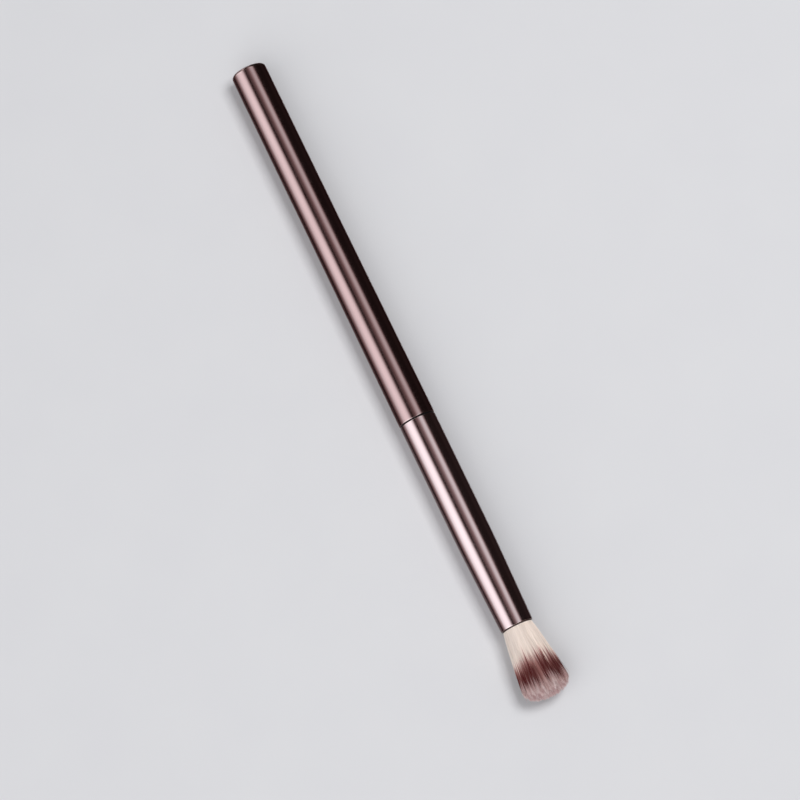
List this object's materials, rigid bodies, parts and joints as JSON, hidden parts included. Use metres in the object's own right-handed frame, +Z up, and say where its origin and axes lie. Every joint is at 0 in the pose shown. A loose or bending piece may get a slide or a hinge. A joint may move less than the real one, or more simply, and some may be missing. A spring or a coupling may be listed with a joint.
{
  "type": "eyeshadow brush",
  "caption": "Slim eyeshadow brush with a weighted metal handle, a long tapered ferrule and a flared, domed tuft of soft bristles.",
  "frame": {"origin": "on the surface that the brush lies on, below the middle of its length", "axes": "+X along the brush towards the tuft, +Y across the tuft's width, +Z up from the surface"},
  "size_m": [0.16, 0.011, 0.0086],
  "materials": {
    "bronze_handle": "polished",
    "bronze_ferrule": "polished",
    "weight_steel": "satin",
    "black_plastic": "matte",
    "hot_melt": "gloss",
    "resin": "gloss",
    "ring_metal": "satin",
    "bristle": "satin"
  },
  "bodies": {
    "root": {"handle_shell": "bronze_handle", "weight_glue": "hot_melt", "balance_weight": "weight_steel", "handle_core": "black_plastic", "core_glue_rings": "resin", "ferrule_glue_rings": "resin", "ferrule": "bronze_ferrule", "root_plug": "resin", "binding_ring": "ring_metal", "bristle_core": "bristle", "bristles_outer_row": "bristle", "bristles_second_row": "bristle", "bristle_crown": "bristle"}
  },
  "joints": []
}
